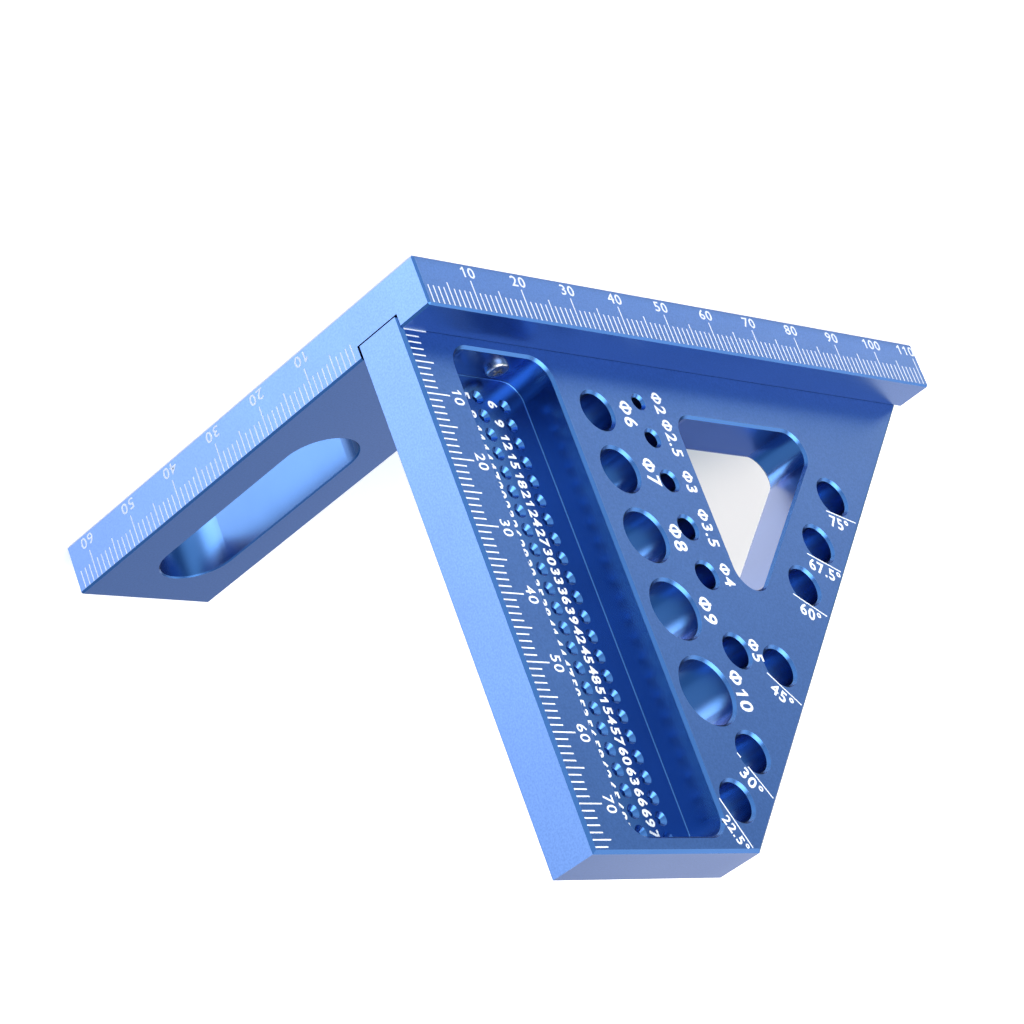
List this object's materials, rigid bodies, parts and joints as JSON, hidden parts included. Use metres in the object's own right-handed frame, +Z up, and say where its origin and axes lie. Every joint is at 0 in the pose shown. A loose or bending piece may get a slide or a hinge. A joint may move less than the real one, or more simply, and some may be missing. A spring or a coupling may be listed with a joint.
{
  "type": "three-way angle marking square",
  "caption": "Aluminium three-way marking square: an L-shaped scaled frame holding an upright plate with a slanted edge, drill gauge, angle pin holes and marking pocket.",
  "frame": {"origin": "centre of the bounding box on the flat outer face of the L-frame, which stands on the bench", "axes": "+X from the far end of the scale bar to the corner, +Y along the arm away from the corner, +Z up the plate"},
  "size_m": [0.1112, 0.0788, 0.0847],
  "materials": {
    "anodised_blue": "bead-blasted, blue anodised",
    "screw_steel": "polished steel",
    "marking": "matt white laser marks"
  },
  "bodies": {
    "root": {"l_frame": "anodised_blue", "plate": "anodised_blue", "web_screw": "screw_steel"}
  },
  "joints": []
}
